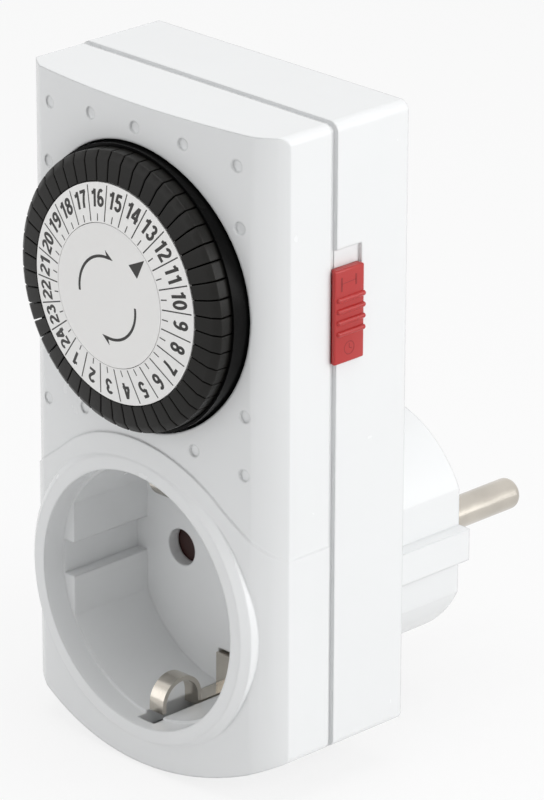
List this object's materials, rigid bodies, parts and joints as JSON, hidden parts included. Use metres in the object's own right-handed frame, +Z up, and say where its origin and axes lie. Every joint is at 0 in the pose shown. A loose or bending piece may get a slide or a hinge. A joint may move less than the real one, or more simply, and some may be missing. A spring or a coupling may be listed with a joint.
{
  "type": "plug_in_timer_switch",
  "caption": "Plug-in mechanical 24 hour timer switch with a turning dial of push-in tabs, a side slide switch and an earthed socket and plug.",
  "frame": {"origin": "Middle of the plug's end face, half way between its two pins.", "axes": "+X to the right seen from the front, +Y into the wall along the pins, +Z up."},
  "size_m": [0.0528, 0.0728, 0.1003],
  "materials": {
    "white_abs": "gloss",
    "black_abs": "satin",
    "red_abs": "satin",
    "brown_abs": "satin",
    "natural_nylon": "satin",
    "bright_steel": "satin",
    "copper_wire": "satin",
    "ferrite": "matte",
    "contact_brass": "satin",
    "nickelled_brass": "satin",
    "lead_cover": "satin"
  },
  "bodies": {
    "housing": {"front_housing": "white_abs", "rear_housing": "white_abs", "centre_disc": "white_abs", "gear_plate": "bright_steel", "motor_cup": "bright_steel", "motor_plate": "bright_steel", "motor_bobbin": "natural_nylon", "motor_coil": "copper_wire", "gear_arbors": "bright_steel", "lever_pin": "bright_steel", "live_inlet_strip": "contact_brass", "live_outlet_strip": "contact_brass", "neutral_strip": "contact_brass", "plug_pins": "nickelled_brass", "earth_bar": "nickelled_brass", "plug_earth_strips": "nickelled_brass", "shutter_spring": "bright_steel", "motor_leads": "lead_cover", "housing_screws": "bright_steel", "movement_screws": "bright_steel"},
    "dial": {"dial_wheel": "black_abs", "number_ring": "white_abs"},
    "rotor": {"motor_rotor": "ferrite"},
    "gear_1": {"gear_1": "natural_nylon"},
    "gear_2": {"gear_2": "natural_nylon"},
    "gear_3": {"gear_3": "natural_nylon"},
    "gear_4": {"gear_4": "natural_nylon"},
    "clutch_gear": {"clutch_gear": "natural_nylon"},
    "clutch_pinion": {"clutch_pinion": "natural_nylon"},
    "slide_switch": {"slide_switch": "red_abs"},
    "follower_lever": {"follower_lever": "natural_nylon"},
    "contact_leaf": {"contact_leaf": "contact_brass"},
    "shutter": {"shutter": "brown_abs"},
    "tabs_hour_01": {"tabs_hour_01": "black_abs"},
    "tabs_hour_02": {"tabs_hour_02": "black_abs"},
    "tabs_hour_03": {"tabs_hour_03": "black_abs"},
    "tabs_hour_04": {"tabs_hour_04": "black_abs"},
    "tabs_hour_05": {"tabs_hour_05": "black_abs"},
    "tabs_hour_06": {"tabs_hour_06": "black_abs"},
    "tabs_hour_07": {"tabs_hour_07": "black_abs"},
    "tabs_hour_08": {"tabs_hour_08": "black_abs"},
    "tabs_hour_09": {"tabs_hour_09": "black_abs"},
    "tabs_hour_10": {"tabs_hour_10": "black_abs"},
    "tabs_hour_11": {"tabs_hour_11": "black_abs"},
    "tabs_hour_12": {"tabs_hour_12": "black_abs"},
    "tabs_hour_13": {"tabs_hour_13": "black_abs"},
    "tabs_hour_14": {"tabs_hour_14": "black_abs"},
    "tabs_hour_15": {"tabs_hour_15": "black_abs"},
    "tabs_hour_16": {"tabs_hour_16": "black_abs"},
    "tabs_hour_17": {"tabs_hour_17": "black_abs"},
    "tabs_hour_18": {"tabs_hour_18": "black_abs"},
    "tabs_hour_19": {"tabs_hour_19": "black_abs"},
    "tabs_hour_20": {"tabs_hour_20": "black_abs"},
    "tabs_hour_21": {"tabs_hour_21": "black_abs"},
    "tabs_hour_22": {"tabs_hour_22": "black_abs"},
    "tabs_hour_23": {"tabs_hour_23": "black_abs"},
    "tabs_hour_24": {"tabs_hour_24": "black_abs"}
  },
  "joints": [
    {"name": "dial_turn", "type": "hinge", "parent": "housing", "child": "dial", "pos_m": [0, -0.048, 0.0478], "axis": [0, 1, 0], "continuous": true},
    {"name": "rotor_turn", "type": "hinge", "parent": "housing", "child": "rotor", "pos_m": [-0.008, -0.03, 0.056], "axis": [0, 1, 0], "continuous": true},
    {"name": "gear_1_turn", "type": "hinge", "parent": "housing", "child": "gear_1", "pos_m": [-0.00396, -0.03485, 0.06348], "axis": [0, 1, 0], "continuous": true},
    {"name": "gear_2_turn", "type": "hinge", "parent": "housing", "child": "gear_2", "pos_m": [0.00441, -0.0359, 0.062], "axis": [0, 1, 0], "continuous": true},
    {"name": "gear_3_turn", "type": "hinge", "parent": "housing", "child": "gear_3", "pos_m": [-0.00396, -0.03695, 0.06348], "axis": [0, 1, 0], "continuous": true},
    {"name": "gear_4_turn", "type": "hinge", "parent": "housing", "child": "gear_4", "pos_m": [0.00441, -0.038, 0.062], "axis": [0, 1, 0], "continuous": true},
    {"name": "clutch_gear_turn", "type": "hinge", "parent": "housing", "child": "clutch_gear", "pos_m": [-0.00396, -0.03905, 0.06348], "axis": [0, 1, 0], "continuous": true},
    {"name": "clutch_pinion_turn", "type": "hinge", "parent": "housing", "child": "clutch_pinion", "pos_m": [-0.00396, -0.041, 0.06348], "axis": [0, 1, 0], "continuous": true},
    {"name": "slide_switch_move", "type": "slide", "parent": "housing", "child": "slide_switch", "axis": [0, 0, 1], "range_m": [0, 0.0026]},
    {"name": "lever_swing", "type": "hinge", "parent": "housing", "child": "follower_lever", "pos_m": [0.0218, -0.0396, 0.0345], "axis": [0, 0, -1], "range_deg": [0, 10.4]},
    {"name": "leaf_bend", "type": "hinge", "parent": "housing", "child": "contact_leaf", "pos_m": [0.0142, -0.035, 0.029], "axis": [0, 0, 1], "range_deg": [0, 11]},
    {"name": "shutter_turn", "type": "hinge", "parent": "housing", "child": "shutter", "pos_m": [0, -0.0283, 0], "axis": [0, 1, 0], "range_deg": [0, 41], "stiffness_Nm_per_rad": 0.002},
    {"name": "tabs_hour_01_push", "type": "slide", "parent": "dial", "child": "tabs_hour_01", "axis": [0, 1, 0], "range_m": [0, 0.0018]},
    {"name": "tabs_hour_02_push", "type": "slide", "parent": "dial", "child": "tabs_hour_02", "axis": [0, 1, 0], "range_m": [0, 0.0018]},
    {"name": "tabs_hour_03_push", "type": "slide", "parent": "dial", "child": "tabs_hour_03", "axis": [0, 1, 0], "range_m": [0, 0.0018]},
    {"name": "tabs_hour_04_push", "type": "slide", "parent": "dial", "child": "tabs_hour_04", "axis": [0, 1, 0], "range_m": [0, 0.0018]},
    {"name": "tabs_hour_05_push", "type": "slide", "parent": "dial", "child": "tabs_hour_05", "axis": [0, 1, 0], "range_m": [0, 0.0018]},
    {"name": "tabs_hour_06_push", "type": "slide", "parent": "dial", "child": "tabs_hour_06", "axis": [0, 1, 0], "range_m": [0, 0.0018]},
    {"name": "tabs_hour_07_push", "type": "slide", "parent": "dial", "child": "tabs_hour_07", "axis": [0, 1, 0], "range_m": [0, 0.0018]},
    {"name": "tabs_hour_08_push", "type": "slide", "parent": "dial", "child": "tabs_hour_08", "axis": [0, 1, 0], "range_m": [0, 0.0018]},
    {"name": "tabs_hour_09_push", "type": "slide", "parent": "dial", "child": "tabs_hour_09", "axis": [0, 1, 0], "range_m": [0, 0.0018]},
    {"name": "tabs_hour_10_push", "type": "slide", "parent": "dial", "child": "tabs_hour_10", "axis": [0, 1, 0], "range_m": [0, 0.0018]},
    {"name": "tabs_hour_11_push", "type": "slide", "parent": "dial", "child": "tabs_hour_11", "axis": [0, 1, 0], "range_m": [0, 0.0018]},
    {"name": "tabs_hour_12_push", "type": "slide", "parent": "dial", "child": "tabs_hour_12", "axis": [0, 1, 0], "range_m": [0, 0.0018]},
    {"name": "tabs_hour_13_push", "type": "slide", "parent": "dial", "child": "tabs_hour_13", "axis": [0, 1, 0], "range_m": [0, 0.0018]},
    {"name": "tabs_hour_14_push", "type": "slide", "parent": "dial", "child": "tabs_hour_14", "axis": [0, 1, 0], "range_m": [0, 0.0018]},
    {"name": "tabs_hour_15_push", "type": "slide", "parent": "dial", "child": "tabs_hour_15", "axis": [0, 1, 0], "range_m": [0, 0.0018]},
    {"name": "tabs_hour_16_push", "type": "slide", "parent": "dial", "child": "tabs_hour_16", "axis": [0, 1, 0], "range_m": [0, 0.0018]},
    {"name": "tabs_hour_17_push", "type": "slide", "parent": "dial", "child": "tabs_hour_17", "axis": [0, 1, 0], "range_m": [0, 0.0018]},
    {"name": "tabs_hour_18_push", "type": "slide", "parent": "dial", "child": "tabs_hour_18", "axis": [0, 1, 0], "range_m": [0, 0.0018]},
    {"name": "tabs_hour_19_push", "type": "slide", "parent": "dial", "child": "tabs_hour_19", "axis": [0, 1, 0], "range_m": [0, 0.0018]},
    {"name": "tabs_hour_20_push", "type": "slide", "parent": "dial", "child": "tabs_hour_20", "axis": [0, 1, 0], "range_m": [0, 0.0018]},
    {"name": "tabs_hour_21_push", "type": "slide", "parent": "dial", "child": "tabs_hour_21", "axis": [0, 1, 0], "range_m": [0, 0.0018]},
    {"name": "tabs_hour_22_push", "type": "slide", "parent": "dial", "child": "tabs_hour_22", "axis": [0, 1, 0], "range_m": [0, 0.0018]},
    {"name": "tabs_hour_23_push", "type": "slide", "parent": "dial", "child": "tabs_hour_23", "axis": [0, 1, 0], "range_m": [0, 0.0018]},
    {"name": "tabs_hour_24_push", "type": "slide", "parent": "dial", "child": "tabs_hour_24", "axis": [0, 1, 0], "range_m": [0, 0.0018]}
  ],
  "couplings": [
    {"joint": "gear_1_turn", "follows": "rotor_turn", "ratio": -0.13333},
    {"joint": "gear_2_turn", "follows": "rotor_turn", "ratio": 0.017778},
    {"joint": "gear_3_turn", "follows": "rotor_turn", "ratio": -0.0023704},
    {"joint": "gear_4_turn", "follows": "rotor_turn", "ratio": 0.00031605},
    {"joint": "clutch_gear_turn", "follows": "rotor_turn", "ratio": -0.000039506},
    {"joint": "clutch_pinion_turn", "follows": "dial_turn", "ratio": -14.222},
    {"joint": "lever_swing", "follows": "slide_switch_move", "rad_per_m": 69.813},
    {"joint": "leaf_bend", "follows": "slide_switch_move", "rad_per_m": 73.841}
  ]
}
